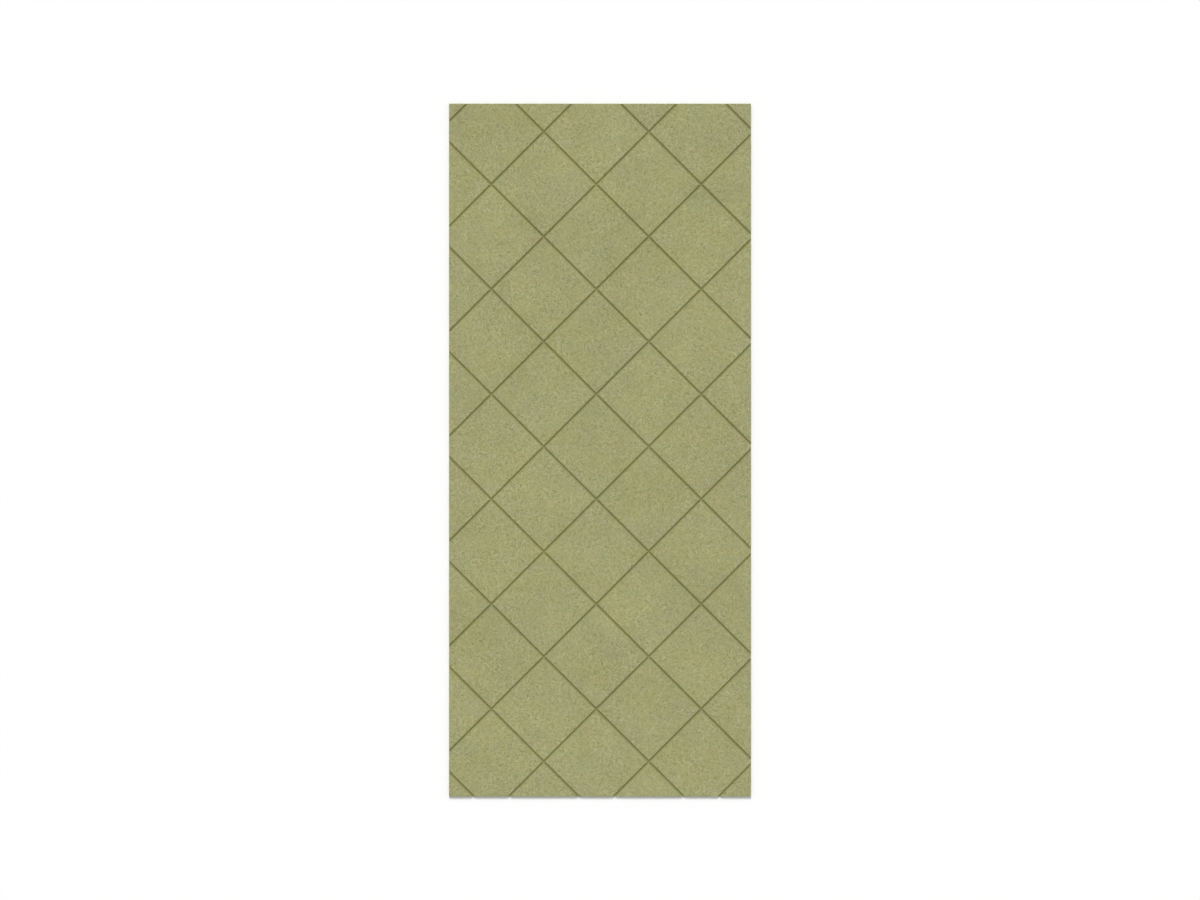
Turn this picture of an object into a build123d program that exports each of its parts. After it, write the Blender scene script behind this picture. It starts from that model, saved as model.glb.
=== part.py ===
from build123d import *
import os
from math import hypot, radians, tan

# A wall panel cut from one sheet of pressed polyester felt. Two sets of V grooves cross its
# face on the slant and divide it into squares that stand on their corners.
# It lies on its back with the grooved face up. X runs across the sheet, Y along it towards
# the end that goes to the top of the wall, and Z through it. Sizes are in millimetres, and
# the origin is the middle of the back.

# Sheet
sheet_width = 1220
sheet_length = 2800
sheet_thickness = 12

# Grooves
square_side = 300     # from one groove to the next, centre to centre
groove_slant = 45     # between the grooves and the long edges, in degrees
groove_depth = 6
groove_angle = 90     # between a groove's two flanks, in degrees
overcut = 2           # how far the cutter stands above the face

# The pattern isn't centred on the sheet: this is the crossing nearest the middle of its
# long axis, in the upper half.
crossing_x = -15
crossing_y = 224

# The V runs on upwards past the face, so that the cut is clean there.
cutter_height = groove_depth + overcut
cutter_half_width = cutter_height * tan(radians(groove_angle / 2))

# Every groove reaches past the sheet's furthest corner from the crossing.
groove_reach = hypot(sheet_width / 2 + abs(crossing_x), sheet_length / 2 + abs(crossing_y))
grooves_each_side = int(groove_reach / square_side) + 1
groove_count = 2 * grooves_each_side + 1

face_crossing = (crossing_x, crossing_y, sheet_thickness)


with BuildPart() as felt_panel:
    Box(
        sheet_width,
        sheet_length,
        sheet_thickness,
        align=(Align.CENTER, Align.CENTER, Align.MIN),
    )
    for slant in (groove_slant, -groove_slant):
        # The profile's plane stands square to the grooves: its normal is their direction.
        along_groove = Vector(0, 1, 0).rotate(Axis.Z, slant)
        across_groove = Vector(1, 0, 0).rotate(Axis.Z, slant)
        profile_plane = Plane(origin=face_crossing, x_dir=across_groove, z_dir=-along_groove)
        with BuildSketch(profile_plane):
            with GridLocations(square_side, 0, groove_count, 1):
                Polygon(
                    (0, -groove_depth),
                    (cutter_half_width, overcut),
                    (-cutter_half_width, overcut),
                    align=None,
                )
        extrude(amount=groove_reach, both=True, mode=Mode.SUBTRACT)

felt_panel.part.label = "felt_panel"

os.makedirs("parts", exist_ok=True)
export_step(felt_panel.part, "parts/felt_panel.step")
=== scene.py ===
from math import cos, pi, radians, sin, sqrt, tan

import bmesh
import bpy
import numpy as np
from mathutils import Euler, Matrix, Vector, geometry, noise


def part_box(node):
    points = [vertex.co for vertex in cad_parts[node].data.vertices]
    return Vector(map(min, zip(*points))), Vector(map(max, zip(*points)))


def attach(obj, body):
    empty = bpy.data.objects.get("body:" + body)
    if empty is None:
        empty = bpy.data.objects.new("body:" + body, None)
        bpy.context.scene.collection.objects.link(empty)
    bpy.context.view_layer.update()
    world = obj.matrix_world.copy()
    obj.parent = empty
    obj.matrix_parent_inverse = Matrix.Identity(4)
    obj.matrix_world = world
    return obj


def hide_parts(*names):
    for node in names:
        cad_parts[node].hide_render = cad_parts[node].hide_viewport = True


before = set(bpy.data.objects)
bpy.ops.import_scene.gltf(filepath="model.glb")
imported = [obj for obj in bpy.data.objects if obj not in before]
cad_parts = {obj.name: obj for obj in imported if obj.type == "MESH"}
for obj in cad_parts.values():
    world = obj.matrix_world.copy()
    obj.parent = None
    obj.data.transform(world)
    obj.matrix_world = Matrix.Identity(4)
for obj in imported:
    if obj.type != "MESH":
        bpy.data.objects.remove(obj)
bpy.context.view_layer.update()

bl_info = {
    "name": "Grooved Felt Wall Panel",
    "version": (1, 0, 0),
    "blender": (4, 5, 0),
    "location": "View3D > Sidebar > Felt Panel",
    "description": "Cuts a wall panel from pressed felt, with crossing V grooves, and lays it on a stage",
    "category": "Add Mesh",
}

# The sheet lies on its back. Its outline and thickness come from the frame.
SHEET_NODE = "felt_panel"
sheet_low, sheet_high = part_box(SHEET_NODE)
SHEET_WIDTH, SHEET_LENGTH, SHEET_THICKNESS = sheet_high - sheet_low
SLANT = 1 / sqrt(2)   # the grooves cross the sheet at 45 degrees

# Grid of the grooved face: lines beside a groove, as shares of its half width
LINES_BESIDE_GROOVE = (0.07, 0.25, 0.55, 0.85, 1.0, 1.15, 1.45, 2.0)
SPARE_CELLS = 2   # how far the grid reaches past the outline before it is trimmed
CLOSEST_ON_OUTLINE = 0.0005
ON_A_PLANE = 1e-6
SAME_PLACE = 1e-7

# Rings of the cut edge: turns round the arris above and below, in degrees, and shares of the wall
ARRIS_TURNS = (30, 60, 90)
WALL_SHARES = (0.25, 0.5, 0.75, 1.0)
BACK_ARRIS_TURNS = (45, 90)

# Cut felt and painted shade: how much of the darker colour a fresh cut shows as the cut felt's own colour,
# and how far down a groove all of it shows, the rest being painted shade that deepens toward the groove's
# bottom
CUT_SIDES = 0.55
FULL_SHADE_FROM = 0.6

# Where the parts of the sheet lie in its texture map: (left, bottom, right, top)
MAP_FACE = (0.004, 0.004, 0.640, 0.996)
MAP_BACK = (0.650, 0.004, 0.922, 0.996)
MAP_LEFT_EDGE = (0.932, 0.004, 0.948, 0.996)
MAP_RIGHT_EDGE = (0.956, 0.004, 0.972, 0.996)
MAP_TOP_EDGE = (0.980, 0.004, 0.996, 0.436)
MAP_BOTTOM_EDGE = (0.980, 0.446, 0.996, 0.878)

# Sockets of the colour Mix node
MIX_FACTOR, MIX_A, MIX_B, MIX_RESULT = 0, 6, 7, 2

# Noise of the face's rise and fall, and of the frayed edges: sizes and seeds
SWELL_SIZE, SWELL_SEED = 0.060, 1
RIPPLE_SIZE, RIPPLE_SEED = 0.022, 2
FRAY_SIZE, FRAY_SEED = 0.012, 3
FRAY_STRETCH = (1, 1, 4)   # finer through the sheet than along its edges
NOISE_STEP = Vector((7.3, 3.1, 5.7))

# Soft patches in the felt: size, seed, detail and roughness of each
YELLOW_PATCHES = (0.105, 2.0, 3.0, 0.8)
ROSY_PATCHES = (0.090, 5.0, 3.0, 0.8)
GATHERED_BUNDLES = (0.070, 8.0, 3.0, 0.7)
CLOUDS = (0.240, 6.0, 3.0, 0.85)
COMBING = (0.080, 3.0, 0.0, 0.5)
PATCH_STEP = (1.0, 2.3, 1.7)

# How the patches and the fine fibres are used: low and high values, and what they turn into,
# which is 0 and 1 where nothing is said
YELLOW_TO_GREY = (0.40, 0.60)
ROSY_TO_GREEN = (0.42, 0.58)
GATHERED_TO_CONTRAST = (0.40, 0.60, 0.80, 1.25)
CLOUD_TO_SHADE = (0.2, 0.8, -0.095, 0.095)
FIBRE_TO_SHADE = (0.0, 1.0, 0.93, 1.12)
FIBRE_TO_ROUGHNESS = (0.0, 1.0, 0.98, 0.86)

# Fibre bundles. The layers of a web grow in turn, and each bundle fades at its sides, between two
# shares of its width, and at its ends, between two shares of its layer's spacing.
PALE_SEED, DARK_SEED, FINE_SEED = 1.0, 11.0, 21.0
BUNDLE_LAYERS, FINE_LAYERS = 4, 2
LAYER_GROWTH = 0.3
LAYER_STEP = (1.0, 0.7, 1.9)
FADE_AT_SIDES = (0.2, 0.8)
FADE_AT_ENDS = (0.2, 0.7)
FAINTEST_BUNDLE = 0.3
COMB_SWING = 4 * pi
COMB_SPREAD = 0.6 * pi
STRAND_SHUFFLE = 50.0   # keeps the strands of one bundle from lining up with the next one's
STRAND_TO_SHADE = (0.3, 0.7, 0.5, 1.0)
BEND_SIZE, BEND, BEND_SEED = 0.025, 0.012, 4.0

# Relief: how much each kind of bundle counts, and how much of contrast and relief a deep cut keeps
PALE_HEIGHT, DARK_HEIGHT = 0.6, -0.5
RELIEF_STRENGTH = 0.5
KEPT_IN_CUTS = 0.4

WHITE = (1, 1, 1, 1)
CLIP_RATIO = 10   # how far the camera sees, as a multiple of its distance
FLOOR_RATIO = 4   # how far the floor goes on, as a multiple of the radius where it has turned white


def length(name, description, default, **limits):
    """A property that holds a length in metres."""
    return bpy.props.FloatProperty(
        name=name,
        description=description,
        default=default,
        precision=4,
        subtype="DISTANCE",
        unit="LENGTH",
        **limits,
    )


def angle(name, description, degrees):
    """A property that holds an angle, shown in degrees."""
    return bpy.props.FloatProperty(
        name=name, description=description, default=radians(degrees), subtype="ANGLE", unit="ROTATION"
    )


def share(name, description, default, most=1.0):
    """A property that holds a share or a strength."""
    return bpy.props.FloatProperty(name=name, description=description, default=default, min=0.0, max=most)


def colour(name, description, default):
    """A property that holds a linear colour."""
    return bpy.props.FloatVectorProperty(
        name=name, description=description, default=default, subtype="COLOR", size=3, min=0.0, max=1.0
    )


class GrooveSettings(bpy.types.PropertyGroup):
    """The two sets of V grooves."""

    square_side: length("Square side", "From one groove to the next, centre to centre", 0.300, min=0.05)
    depth: length("Groove depth", "From the face to the bottom of the V", 0.006, min=0.0005)
    opening: angle("Groove angle", "Between the two flanks of a groove", 90)
    crossing_x: length("Crossing X", "A crossing of two grooves, across the sheet from its middle", -0.015)
    crossing_y: length("Crossing Y", "The same crossing, along the sheet from its middle", 0.224)
    lip_softness: length("Lip softness", "How far the felt rounds over at a groove's lips", 0.0005, min=0.0)
    tip_softness: length("Tip softness", "How far the bottom of the V is rounded", 0.0003, min=0.0)


class SheetSettings(bpy.types.PropertyGroup):
    """The pressed sheet: its cut edges and its slightly uneven face."""

    arris: length("Arris", "Radius of the cut edge beside the face", 0.0006, min=0.0001)
    back_arris: length("Back arris", "Radius of the cut edge beside the back", 0.0003, min=0.0001)
    grid: length("Grid", "Size of the mesh between the grooves", 0.011, min=0.002)
    back_grid: length("Back grid", "Size of the mesh on the plain back", 0.050, min=0.01)
    unevenness: length("Unevenness", "How much the pressed face rises and falls", 0.00012, min=0.0)
    fraying: length("Fraying", "How much the cut edges waver", 0.00012, min=0.0)


class FeltSettings(bpy.types.PropertyGroup):
    """The dyed fibres."""

    straw: colour("Straw fibres", "A yellow part of the blend", (0.384, 0.364, 0.151))
    sage: colour("Sage fibres", "A grey-green part of the blend", (0.344, 0.354, 0.181))
    beige: colour("Beige fibres", "A rosy part of the blend", (0.380, 0.350, 0.177))
    moss: colour("Moss fibres", "A green part of the blend", (0.342, 0.363, 0.162))
    pale: colour("Pale fibres", "The light strands on the surface", (0.520, 0.505, 0.290))
    dark: colour("Dark fibres", "The dark gaps between the strands", (0.200, 0.205, 0.080))
    # Multiplied in where cuts show: the cut felt's own darker colour at the lips and edges, and painted
    # shade, darker and more saturated, deeper in the grooves
    deep: colour("Cut felt and groove shade", "What the bottom of a cut keeps of the face's colour", (0.745, 0.748, 0.625))
    contrast: share("Fibre contrast", "How much the bundles stand out in colour", 0.88)
    bundle_spacing: length("Bundle spacing", "From one bundle of a layer to the next", 0.0118, min=0.001)
    bundle_width: length("Bundle width", "Width of a fibre bundle", 0.0018, min=0.0002)
    fibre_spacing: length("Fibre spacing", "From one fine fibre of a layer to the next", 0.0040, min=0.001)
    fibre_width: length("Fibre width", "Width of a fine fibre", 0.0006, min=0.0001)
    strand: length("Strand width", "Width of the single strands that show in a bundle", 0.0004, min=0.0001)
    relief: length("Relief", "How far the bundles stand out of the face", 0.0008, min=0.0)


class StageSettings(bpy.types.PropertyGroup):
    """Floor, camera and light."""

    floor: colour("Floor", "Colour of the floor", (0.99, 0.99, 0.99))
    floor_radius: length("Floor radius", "How far the floor goes before it turns white", 9.0)
    lens: bpy.props.FloatProperty(name="Lens", description="Focal length", default=100.0, unit="CAMERA")
    view_width: length("View width", "How much of the sheet's plane the picture takes in", 4.850)
    ambient: share("Ambient", "Share of the light that comes from all round", 0.485, 2.0)
    key: share("Key", "Share of the light that comes from the key lamp", 0.525, 2.0)
    key_height: angle("Key height", "How high the key lamp stands over the sheet", 45)
    key_turn: angle("Key turn", "From the sheet's top end to the key lamp, to the left", 5)
    key_softness: angle("Key softness", "Width of the key lamp as the sheet sees it", 26)


# Shape of the sheet

def half_width(grooves):
    """Half the width of a groove at the face."""
    return grooves.depth * tan(grooves.opening / 2)


def below_face(distance, grooves):
    """How deep a groove lies below the face at a distance from its centre line."""
    slope = 1 / tan(grooves.opening / 2)
    depth = grooves.depth - slope * np.hypot(distance, grooves.tip_softness)
    return (depth + np.hypot(depth, grooves.lip_softness)) / 2


def from_nearest_groove(across, grooves):
    """Distance from the nearest centre line of one set of grooves."""
    side = grooves.square_side
    return np.abs((across + side / 2) % side - side / 2)


def to_lattice(x, y, grooves):
    """Distances across the falling and the rising grooves, from the crossing."""
    x, y = x - grooves.crossing_x, y - grooves.crossing_y
    return (x + y) * SLANT, (y - x) * SLANT


def from_lattice(across_falling, across_rising, grooves):
    """The place that lies at these distances across the falling and the rising grooves."""
    x = (across_falling - across_rising) * SLANT + grooves.crossing_x
    y = (across_falling + across_rising) * SLANT + grooves.crossing_y
    return x, y


def depth_at(x, y, grooves):
    """Depth of the deeper groove below the face."""
    falling, rising = to_lattice(x, y, grooves)
    return np.maximum(
        below_face(from_nearest_groove(falling, grooves), grooves),
        below_face(from_nearest_groove(rising, grooves), grooves),
    )


def waver(places, size, amount, seed):
    """Smooth noise at each place, up to about the amount either way."""
    return np.array([noise.noise(Vector(p) / size + NOISE_STEP * seed) for p in places]) * amount


def face_height(x, y, grooves, sheet):
    """Height of the grooved face: the flat sheet, less its grooves, with the felt's unevenness."""
    places = np.column_stack([x, y, np.zeros(len(x))])
    swell = waver(places, SWELL_SIZE, sheet.unevenness, SWELL_SEED)
    ripple = waver(places, RIPPLE_SIZE, sheet.unevenness / 2, RIPPLE_SEED)
    return sheet_high.z - sheet.unevenness - depth_at(x, y, grooves) + swell + ripple


def grid_lines(grooves, sheet, reach):
    """Places of the grid lines across one set of grooves, close together beside each groove."""
    half = half_width(grooves)
    beside = [half * s for s in LINES_BESIDE_GROOVE]
    flat = grooves.square_side - 2 * beside[-1]
    between = beside[-1] + np.linspace(0, flat, round(flat / sheet.grid) + 1)[1:-1]
    one_square = np.concatenate([[0], beside, between, grooves.square_side - np.array(beside[::-1])])
    count = int(reach / grooves.square_side) + 1
    return np.concatenate([one_square + n * grooves.square_side for n in range(-count, count)])


def grooved_grid(grooves, sheet):
    """The face as a grid that follows both sets of grooves, a little larger than the sheet."""
    reach = sqrt(SHEET_WIDTH**2 + SHEET_LENGTH**2) / 2 + abs(grooves.crossing_y)
    lines = grid_lines(grooves, sheet, reach)
    falling, rising = np.meshgrid(lines, lines, indexing="ij")
    x, y = from_lattice(falling.ravel(), rising.ravel(), grooves)
    spare = SPARE_CELLS * sheet.grid
    inside = (np.abs(x) < SHEET_WIDTH / 2 + spare) & (np.abs(y) < SHEET_LENGTH / 2 + spare)
    index = np.full(len(x), -1)
    index[inside] = np.arange(inside.sum())
    index = index.reshape(falling.shape)
    corners = [index[:-1, :-1], index[1:, :-1], index[1:, 1:], index[:-1, 1:]]
    quads = np.stack([c.ravel() for c in corners], axis=1)
    # Near a crossing the two grooves meet in a mitre, which runs along one diagonal of the quads.
    signed = (lines + grooves.square_side / 2) % grooves.square_side - grooves.square_side / 2
    middle = (signed[:-1] + signed[1:]) / 2
    leans_back = (middle[:, None] * middle[None, :] < 0).ravel()
    quads[leans_back] = np.roll(quads[leans_back], 1, axis=1)
    quads = quads[(quads >= 0).all(axis=1)]
    return x[inside], y[inside], quads


def trim(bm, inset):
    """Cuts the grid to the sheet's outline, less the inset."""
    for normal, limit in (
        ((1, 0, 0), sheet_high.x),
        ((-1, 0, 0), -sheet_low.x),
        ((0, 1, 0), sheet_high.y),
        ((0, -1, 0), -sheet_low.y),
    ):
        bmesh.ops.bisect_plane(
            bm,
            geom=bm.verts[:] + bm.edges[:] + bm.faces[:],
            dist=ON_A_PLANE,
            plane_co=Vector(normal) * (limit - inset),
            plane_no=normal,
            clear_outer=True,
        )
    outline = [v for v in bm.verts if v.is_boundary]
    bmesh.ops.remove_doubles(bm, verts=outline, dist=CLOSEST_ON_OUTLINE)


def border(bm):
    """The vertices of the open border, in order."""
    edge = next(e for e in bm.edges if e.is_boundary)
    loop = list(edge.verts)
    while loop[-1] != loop[0]:
        edge = next(e for e in loop[-1].link_edges if e.is_boundary and e != edge)
        loop.append(edge.other_vert(loop[-1]))
    return loop[:-1]


def outward(points, inset):
    """Which way is out of the sheet at each point of the border, with both ways at a corner.
    It also puts each point exactly on the inset outline."""
    near = CLOSEST_ON_OUTLINE
    normals = np.zeros_like(points)
    for axis, limit in ((0, sheet_high.x - inset), (1, sheet_high.y - inset)):
        on_edge = np.abs(points[:, axis]) > limit - near
        normals[on_edge, axis] = np.sign(points[on_edge, axis])
        points[on_edge, axis] = normals[on_edge, axis] * limit
    return normals


def edge_rings(top, sheet):
    """Rings down the cut edge, from the height of the face beside it: over the arris, down the
    wall and under to the back. Each is how far out it lies, its height and how much cut felt shows."""
    wall_top = top - sheet.arris
    wall_bottom = sheet_low.z + sheet.back_arris
    out_of_arris = sheet.arris - sheet.back_arris
    for turn in map(radians, ARRIS_TURNS):
        out = sheet.arris * sin(turn)
        yield out, top - sheet.arris * (1 - cos(turn)), sin(turn)
    for share_down in WALL_SHARES:
        yield sheet.arris, wall_top + (wall_bottom - wall_top) * share_down, 1.0
    for turn in map(radians, BACK_ARRIS_TURNS):
        out = out_of_arris + sheet.back_arris * cos(turn)
        yield out, np.full(len(top), wall_bottom - sheet.back_arris * sin(turn)), cos(turn)


def add_edge(bm, loop, sheet, cut_and_shade_layer):
    """The cut edge, from the face's border down to the back. Returns the last ring."""
    points = np.array([v.co[:] for v in loop])
    normals = outward(points, sheet.arris)
    for vertex, point in zip(loop, points):
        vertex.co = point
    upper = loop
    for out, height, cut in edge_rings(points[:, 2], sheet):
        places = points + normals * out
        places[:, 2] = height
        frayed = waver(places * FRAY_STRETCH, FRAY_SIZE, sheet.fraying * cut, FRAY_SEED)
        places += normals * frayed[:, None]
        lower = [bm.verts.new(p) for p in places]
        for vertex in lower:
            vertex[cut_and_shade_layer] = cut * CUT_SIDES
        for i in range(len(loop)):
            bm.faces.new((upper[i - 1], upper[i], lower[i], lower[i - 1]))
        upper = lower
    return upper


def add_back(bm, ring, sheet):
    """The plain back: triangles between the last ring and a coarse grid."""
    count_x = round(SHEET_WIDTH / sheet.back_grid)
    count_y = round(SHEET_LENGTH / sheet.back_grid)
    inner_x = np.linspace(sheet_low.x, sheet_high.x, count_x + 1)[1:-1]
    inner_y = np.linspace(sheet_low.y, sheet_high.y, count_y + 1)[1:-1]
    points = [v.co.xy for v in ring] + [Vector((x, y)) for x in inner_x for y in inner_y]
    outline = list(range(len(ring)))
    places, _, faces, came_from, _, _ = geometry.delaunay_2d_cdt(points, [], [outline], 1, SAME_PLACE)
    made = []
    for place, source in zip(places, came_from):
        known = [n for n in source if n < len(ring)]
        made.append(ring[known[0]] if known else bm.verts.new((*place, sheet_low.z)))
    back = []
    for face in faces:
        corners = [made[n] for n in reversed(face)]
        if len(set(corners)) == len(corners):
            back.append(bm.faces.new(corners))
    return back


def map_to(rectangle, across, along):
    """A place in the texture map, from shares across and along a part of the sheet."""
    left, bottom, right, top = rectangle
    return left + (right - left) * across, bottom + (top - bottom) * along


def lay_out_map(bm, face_count, back_faces):
    """The texture map: the face takes most of it, then the back, then the four cut edges."""
    layer = bm.loops.layers.uv.new("OFBake")
    back_faces = set(back_faces)
    for number, face in enumerate(bm.faces):
        facing = face.normal
        for loop in face.loops:
            x, y, z = loop.vert.co
            across = (x - sheet_low.x) / SHEET_WIDTH
            along = (y - sheet_low.y) / SHEET_LENGTH
            down = (sheet_high.z - z) / SHEET_THICKNESS
            if number < face_count:
                place = map_to(MAP_FACE, across, along)
            elif face in back_faces:
                place = map_to(MAP_BACK, 1 - across, along)
            elif abs(facing.x) > abs(facing.y):
                place = map_to(MAP_RIGHT_EDGE if facing.x > 0 else MAP_LEFT_EDGE, down, along)
            else:
                place = map_to(MAP_TOP_EDGE if facing.y > 0 else MAP_BOTTOM_EDGE, down, across)
            loop[layer].uv = np.clip(place, 0, 1)


def felt_mesh(grooves, sheet):
    """The whole sheet as one closed mesh."""
    x, y, quads = grooved_grid(grooves, sheet)
    flat = bpy.data.meshes.new("flat_grid")
    flat.from_pydata(np.column_stack([x, y, np.zeros(len(x))]).tolist(), [], quads.tolist())
    bm = bmesh.new()
    bm.from_mesh(flat)
    bpy.data.meshes.remove(flat)
    cut_and_shade_layer = bm.verts.layers.float.new("cut")
    trim(bm, sheet.arris)
    places = np.array([v.co[:] for v in bm.verts])
    heights = face_height(places[:, 0], places[:, 1], grooves, sheet)
    depths = depth_at(places[:, 0], places[:, 1], grooves)
    # The cut value: the cut felt's own darker colour from the lip down, then painted shade that grows toward
    # the bottom of each groove
    shown = CUT_SIDES * np.clip(depths / grooves.lip_softness, 0, 1)
    shown += (1 - CUT_SIDES) * np.clip(depths / grooves.depth / FULL_SHADE_FROM, 0, 1)
    for vertex, height, cut in zip(bm.verts, heights, shown):
        vertex.co.z = height
        vertex[cut_and_shade_layer] = cut
    face_count = len(bm.faces)
    ring = add_edge(bm, border(bm), sheet, cut_and_shade_layer)
    back_faces = add_back(bm, ring, sheet)
    bmesh.ops.recalc_face_normals(bm, faces=bm.faces)
    bm.faces.index_update()
    bm.normal_update()
    lay_out_map(bm, face_count, back_faces)
    mesh = bpy.data.meshes.new("grooved_felt_sheet")
    bm.to_mesh(mesh)
    bm.free()
    mesh.shade_smooth()
    return mesh


# Finish of the felt

def add(tree, kind, sockets=None, **settings):
    """Adds a shader node, with its settings and with a value or a link for each socket named."""
    node = tree.nodes.new("ShaderNode" + kind)
    for name, value in settings.items():
        setattr(node, name, value)
    for name, value in (sockets or {}).items():
        if isinstance(value, bpy.types.NodeSocket):
            tree.links.new(value, node.inputs[name])
        else:
            node.inputs[name].default_value = value
    return node


def calculate(tree, operation, *values, clamp=False):
    """A Math node's result."""
    node = add(tree, "Math", dict(enumerate(values)), operation=operation, use_clamp=clamp)
    return node.outputs[0]


def blend(tree, factor, first, second, kind="MIX"):
    """A colour Mix node's result."""
    sockets = {MIX_FACTOR: factor, MIX_A: first, MIX_B: second}
    return add(tree, "Mix", sockets, data_type="RGBA", blend_type=kind).outputs[MIX_RESULT]


def rescale(tree, value, low, high, to_low=0.0, to_high=1.0):
    """A value's range mapped onto another, held at its ends."""
    sockets = {"Value": value, "From Min": low, "From Max": high, "To Min": to_low, "To Max": to_high}
    return add(tree, "MapRange", sockets).outputs[0]


def shifted(tree, places, step, seed):
    """Places moved by a step times a seed, so that no two noises are alike."""
    shift = [seed * s for s in step]
    return add(tree, "VectorMath", {0: places, 1: shift}, operation="ADD").outputs[0]


def patches(tree, places, size, seed, detail, roughness):
    """Soft cloudy patches up to about a size across, round 0.5."""
    moved = shifted(tree, places, PATCH_STEP, seed)
    sockets = {"Vector": moved, "Scale": 1 / size, "Detail": detail, "Roughness": roughness}
    return add(tree, "TexNoise", sockets).outputs[0]


def bent(tree, places):
    """Places pushed about by soft noise, so that bundles laid on them bend."""
    moved = shifted(tree, places, (1.0, 1.0, 1.0), BEND_SEED)
    push = add(tree, "TexNoise", {"Vector": moved, "Scale": 1 / BEND_SIZE, "Detail": 1.0})
    centred = add(tree, "VectorMath", {0: push.outputs[1], 1: (0.5, 0.5, 0.5)}, operation="SUBTRACT")
    pushed = add(tree, "VectorMath", {0: centred.outputs[0], "Scale": BEND}, operation="SCALE")
    return add(tree, "VectorMath", {0: places, 1: pushed.outputs[0]}, operation="ADD").outputs[0]


def fades(tree, value, full, gone):
    """1 up to one distance either side of the middle, and 0 from another on."""
    return rescale(tree, calculate(tree, "ABSOLUTE", value), full, gone, 1.0, 0.0)


def strands(tree, across, chance, width):
    """Fine lines along a bundle, each of its own lightness."""
    side = calculate(tree, "DIVIDE", across, width)
    side = calculate(tree, "MULTIPLY_ADD", chance, STRAND_SHUFFLE, side)
    lines = add(tree, "TexNoise", {"W": side, "Scale": 1.0, "Detail": 1.0}, noise_dimensions="1D")
    return rescale(tree, lines.outputs[0], *STRAND_TO_SHADE)


def bundles(tree, places, spacing, width, strand, seed):
    """One layer of short straight fibre bundles, each in its own cell of the layer and combed
    roughly the same way as those near it. Each fades at its ends and shows its single strands."""
    turned = add(tree, "VectorRotate", {"Vector": places, "Angle": seed}, rotation_type="Z_AXIS").outputs[0]
    moved = shifted(tree, turned, LAYER_STEP, seed)
    cells = add(tree, "TexVoronoi", {"Vector": moved, "Scale": 1 / spacing}, voronoi_dimensions="2D").outputs
    middle = cells["Position"]
    from_middle = add(tree, "VectorMath", {0: moved, 1: middle}, operation="SUBTRACT").outputs[0]
    chance = add(tree, "SeparateColor", {0: cells["Color"]}).outputs
    combed = calculate(tree, "MULTIPLY", patches(tree, middle, *COMBING), COMB_SWING)
    turn = calculate(tree, "ADD", combed, calculate(tree, "MULTIPLY", chance[0], COMB_SPREAD))
    sockets = {"Vector": from_middle, "Angle": turn}
    own = add(tree, "VectorRotate", sockets, rotation_type="Z_AXIS").outputs[0]
    along, across, _ = add(tree, "SeparateXYZ", {0: own}).outputs
    bundle = fades(tree, across, *(width * s for s in FADE_AT_SIDES))
    bundle = calculate(tree, "MULTIPLY", bundle, fades(tree, along, *(spacing * s for s in FADE_AT_ENDS)))
    bundle = calculate(tree, "MULTIPLY", bundle, strands(tree, across, chance[2], strand))
    return calculate(tree, "MULTIPLY", bundle, rescale(tree, chance[1], 0.0, 1.0, FAINTEST_BUNDLE, 1.0))


def web(tree, places, spacing, width, strand, seed, layers):
    """Several layers of fibre bundles, one over another."""
    over = None
    for number in range(layers):
        grow = 1 + LAYER_GROWTH * number
        layer = bundles(tree, places, spacing * grow, width * grow, strand, seed + number)
        over = layer if over is None else calculate(tree, "MAXIMUM", over, layer)
    return over


def ground_colour(tree, places, felt):
    """The dyed blend: yellow to grey-green patches, half and half with rosy to green ones."""
    yellow_to_grey = rescale(tree, patches(tree, places, *YELLOW_PATCHES), *YELLOW_TO_GREY)
    rosy_to_green = rescale(tree, patches(tree, places, *ROSY_PATCHES), *ROSY_TO_GREEN)
    return blend(
        tree,
        0.5,
        blend(tree, yellow_to_grey, (*felt.straw, 1), (*felt.sage, 1)),
        blend(tree, rosy_to_green, (*felt.beige, 1), (*felt.moss, 1)),
    )


def kept_in_cuts(tree, cut):
    """How much of the bundles' contrast and relief is left, from the face down into a cut."""
    return rescale(tree, cut, 0.0, 1.0, 1.0, KEPT_IN_CUTS)


def felt_colour(tree, places, cut, pale, dark, fine, felt):
    """The ground with its dark gaps and pale bundles, its soft clouds, and its darker cuts with painted
    shade that deepens down the grooves.
    """
    gathered = rescale(tree, patches(tree, places, *GATHERED_BUNDLES), *GATHERED_TO_CONTRAST)
    contrast = calculate(tree, "MULTIPLY", gathered, felt.contrast)
    contrast = calculate(tree, "MULTIPLY", contrast, kept_in_cuts(tree, cut))
    lift = calculate(tree, "MULTIPLY", pale, contrast, clamp=True)
    drop = calculate(tree, "MULTIPLY", dark, contrast, clamp=True)
    surface = blend(tree, drop, ground_colour(tree, places, felt), (*felt.dark, 1))
    surface = blend(tree, lift, surface, (*felt.pale, 1))
    clouds = rescale(tree, patches(tree, places, *CLOUDS), *CLOUD_TO_SHADE)
    shade = calculate(tree, "ADD", rescale(tree, fine, *FIBRE_TO_SHADE), clouds)
    grey = add(tree, "CombineColor", {0: shade, 1: shade, 2: shade}).outputs[0]
    surface = blend(tree, 1.0, surface, grey, "MULTIPLY")
    # Darker where cuts show: the cut felt's own colour, and painted shade deeper in the grooves
    return blend(tree, 1.0, surface, blend(tree, cut, WHITE, (*felt.deep, 1)), "MULTIPLY")


def felt_relief(tree, cut, pale, dark, felt):
    """The bundles' own height, as a bend of the surface's normal."""
    height = calculate(tree, "MULTIPLY", pale, PALE_HEIGHT)
    height = calculate(tree, "MULTIPLY_ADD", dark, DARK_HEIGHT, height)
    height = calculate(tree, "MULTIPLY", height, kept_in_cuts(tree, cut))
    sockets = {"Height": height, "Strength": RELIEF_STRENGTH, "Distance": felt.relief}
    return add(tree, "Bump", sockets).outputs[0]


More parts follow.
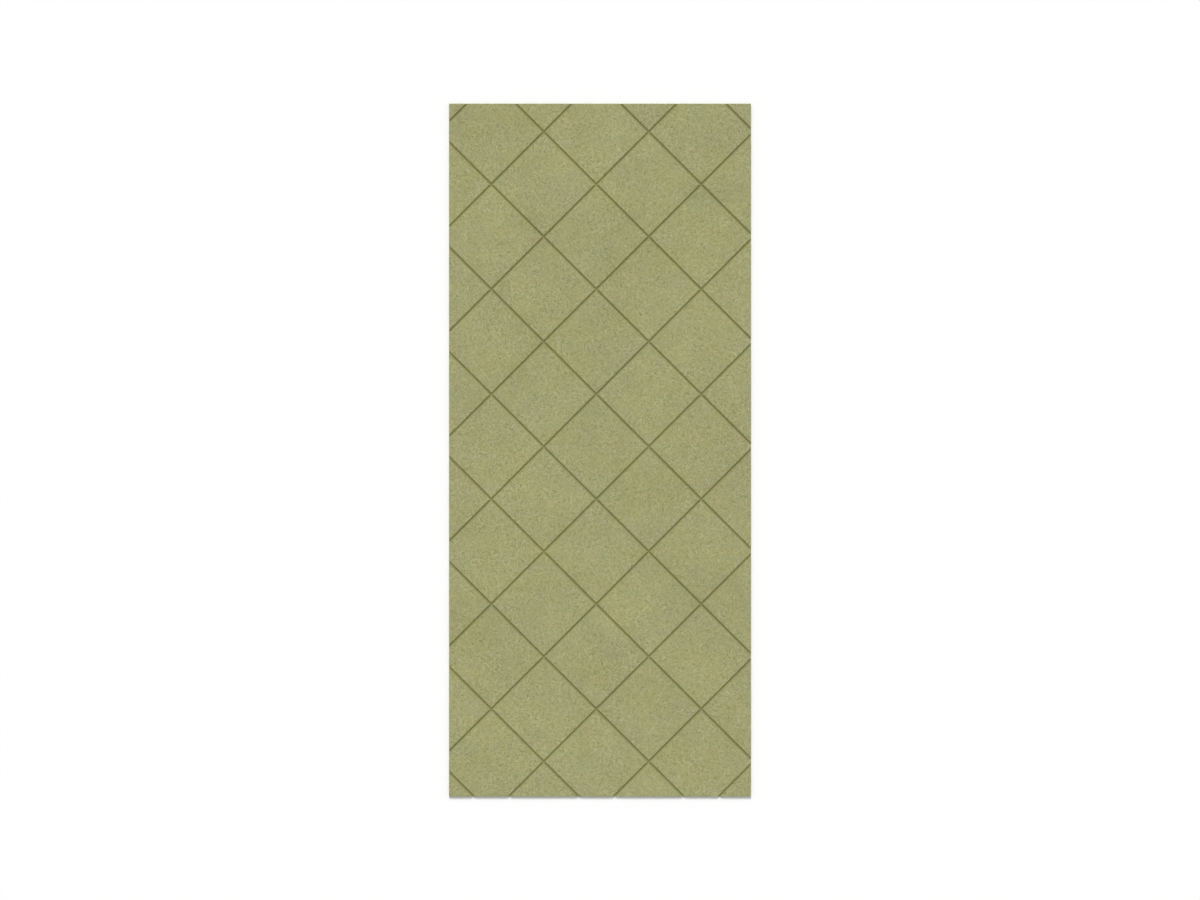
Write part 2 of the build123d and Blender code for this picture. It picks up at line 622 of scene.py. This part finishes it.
def felt_material(felt):
    """Matte pressed felt: a dyed blend in soft patches, with pale and dark fibre bundles, darker cut felt
    and painted shade down in its grooves.
    """
    material = bpy.data.materials.new("pressed_felt")
    material.use_nodes = True
    tree = material.node_tree
    tree.nodes.clear()
    places = add(tree, "TexCoord").outputs["Object"]
    # The cut attribute carries the cut felt's darker colour and the painted shade in the grooves
    cut = add(tree, "Attribute", attribute_name="cut").outputs["Fac"]
    curled = bent(tree, places)
    bundle = (felt.bundle_spacing, felt.bundle_width, felt.strand)
    pale = web(tree, curled, *bundle, PALE_SEED, BUNDLE_LAYERS)
    dark = web(tree, curled, *bundle, DARK_SEED, BUNDLE_LAYERS)
    fine = web(tree, places, felt.fibre_spacing, felt.fibre_width, felt.strand, FINE_SEED, FINE_LAYERS)
    shader = add(
        tree,
        "BsdfPrincipled",
        {
            "Base Color": felt_colour(tree, places, cut, pale, dark, fine, felt),
            "Roughness": rescale(tree, fine, *FIBRE_TO_ROUGHNESS),
            "Specular IOR Level": 0.15,
            "Sheen Weight": 0.12,
            "Sheen Roughness": 0.5,
            "Sheen Tint": (0.80, 0.80, 0.62, 1),
            "Normal": felt_relief(tree, cut, pale, dark, felt),
        },
    )
    add(tree, "OutputMaterial", {"Surface": shader.outputs[0]})
    return material


# Stage

def seen(tree):
    """1 where something is looked at, straight or in a reflection, and 0 where it only gives light."""
    rays = add(tree, "LightPath").outputs
    mirrored = calculate(tree, "MAXIMUM", rays["Is Glossy Ray"], rays["Is Transmission Ray"])
    return calculate(tree, "MAXIMUM", rays["Is Camera Ray"], mirrored)


def floor_material(stage):
    """White floor that keeps the sheet's shadow and turns into the white background further out."""
    material = bpy.data.materials.new("studio_floor")
    material.use_nodes = True
    tree = material.node_tree
    tree.nodes.clear()
    diffuse = add(tree, "BsdfDiffuse", {"Color": (*stage.floor, 1)})
    white = add(tree, "Emission", {"Color": WHITE, "Strength": 1.0})
    places = add(tree, "TexCoord").outputs["Object"]
    distance = add(tree, "VectorMath", {0: places}, operation="LENGTH").outputs["Value"]
    far = rescale(tree, distance, stage.floor_radius / 2, stage.floor_radius)
    turned_white = calculate(tree, "MULTIPLY", far, seen(tree))
    surface = add(tree, "MixShader", {0: turned_white, 1: diffuse.outputs[0], 2: white.outputs[0]})
    add(tree, "OutputMaterial", {"Surface": surface.outputs[0]})
    return material


def white_world(stage):
    """Even light from all round, seen as plain white."""
    world = bpy.data.worlds.new("studio")
    world.use_nodes = True
    tree = world.node_tree
    tree.nodes.clear()
    light = add(tree, "Background", {"Color": WHITE, "Strength": stage.ambient})
    white = add(tree, "Background", {"Color": WHITE, "Strength": 1.0})
    surface = add(tree, "MixShader", {0: seen(tree), 1: light.outputs[0], 2: white.outputs[0]})
    add(tree, "OutputWorld", {"Surface": surface.outputs[0]})
    bpy.context.scene.world = world


def add_key_lamp(stage):
    """A soft distant lamp. Its level is its share of the light on the face."""
    lamp = bpy.data.lights.new("key", "SUN")
    lamp.angle = stage.key_softness
    lamp.energy = stage.key * pi / sin(stage.key_height)
    holder = bpy.data.objects.new("key", lamp)
    holder.rotation_euler = Euler((stage.key_height - pi / 2, 0, stage.key_turn), "XYZ")
    bpy.context.collection.objects.link(holder)


def add_floor(stage):
    """A flat white floor under the sheet."""
    mesh = bpy.data.meshes.new("floor")
    reach = FLOOR_RATIO * stage.floor_radius
    corners = [(-reach, -reach), (reach, -reach), (reach, reach), (-reach, reach)]
    mesh.from_pydata([(x, y, sheet_low.z) for x, y in corners], [], [(0, 1, 2, 3)])
    mesh.materials.append(floor_material(stage))
    floor = bpy.data.objects.new("floor", mesh)
    bpy.context.collection.objects.link(floor)


def add_camera(stage):
    """The camera looks straight down on the middle of the face, with the sheet's top end up."""
    camera = bpy.data.cameras.new("camera")
    camera.lens = stage.lens
    distance = stage.view_width * stage.lens / camera.sensor_width
    holder = bpy.data.objects.new("camera", camera)
    middle = (sheet_low + sheet_high) / 2
    holder.location = (middle.x, middle.y, sheet_high.z + distance)
    camera.clip_end = CLIP_RATIO * distance
    bpy.context.collection.objects.link(holder)
    bpy.context.scene.camera = holder


class FELTPANEL_OT_cut_sheet(bpy.types.Operator):
    """Makes the felt sheet with its grooves, cut edges and finish"""

    bl_idname = "felt_panel.cut_sheet"
    bl_label = "Cut Felt Sheet"

    def execute(self, context):
        settings = context.scene
        mesh = felt_mesh(settings.felt_grooves, settings.felt_sheet)
        mesh.materials.append(felt_material(settings.felt_finish))
        sheet = bpy.data.objects.new("grooved_felt_sheet", mesh)
        context.collection.objects.link(sheet)
        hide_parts(SHEET_NODE)
        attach(sheet, "root")
        return {"FINISHED"}


class FELTPANEL_OT_set_stage(bpy.types.Operator):
    """Lays a white floor under the sheet and sets the camera and the light"""

    bl_idname = "felt_panel.set_stage"
    bl_label = "Set Stage"

    def execute(self, context):
        stage = context.scene.felt_stage
        add_floor(stage)
        white_world(stage)
        add_key_lamp(stage)
        add_camera(stage)
        context.scene.view_settings.view_transform = "Standard"
        return {"FINISHED"}


class FELTPANEL_PT_sidebar(bpy.types.Panel):
    """Lists the settings and the operators in the 3D view's sidebar"""

    bl_label = "Felt Panel"
    bl_space_type = "VIEW_3D"
    bl_region_type = "UI"
    bl_category = "Felt Panel"

    def draw(self, context):
        for title, group in SETTINGS.items():
            box = self.layout.box()
            box.label(text=title.replace("_", " ").capitalize())
            settings = getattr(context.scene, title)
            for name in group.__annotations__:
                box.prop(settings, name)
        self.layout.operator(FELTPANEL_OT_cut_sheet.bl_idname)
        self.layout.operator(FELTPANEL_OT_set_stage.bl_idname)


SETTINGS = {
    "felt_grooves": GrooveSettings,
    "felt_sheet": SheetSettings,
    "felt_finish": FeltSettings,
    "felt_stage": StageSettings,
}
CLASSES = (*SETTINGS.values(), FELTPANEL_OT_cut_sheet, FELTPANEL_OT_set_stage, FELTPANEL_PT_sidebar)


def register():
    for cls in CLASSES:
        bpy.utils.register_class(cls)
    for name, group in SETTINGS.items():
        setattr(bpy.types.Scene, name, bpy.props.PointerProperty(type=group))


def unregister():
    for name in SETTINGS:
        delattr(bpy.types.Scene, name)
    for cls in reversed(CLASSES):
        bpy.utils.unregister_class(cls)


def main():
    register()
    bpy.ops.felt_panel.cut_sheet()
    bpy.ops.felt_panel.set_stage()


if __name__ == "__main__":
    main()
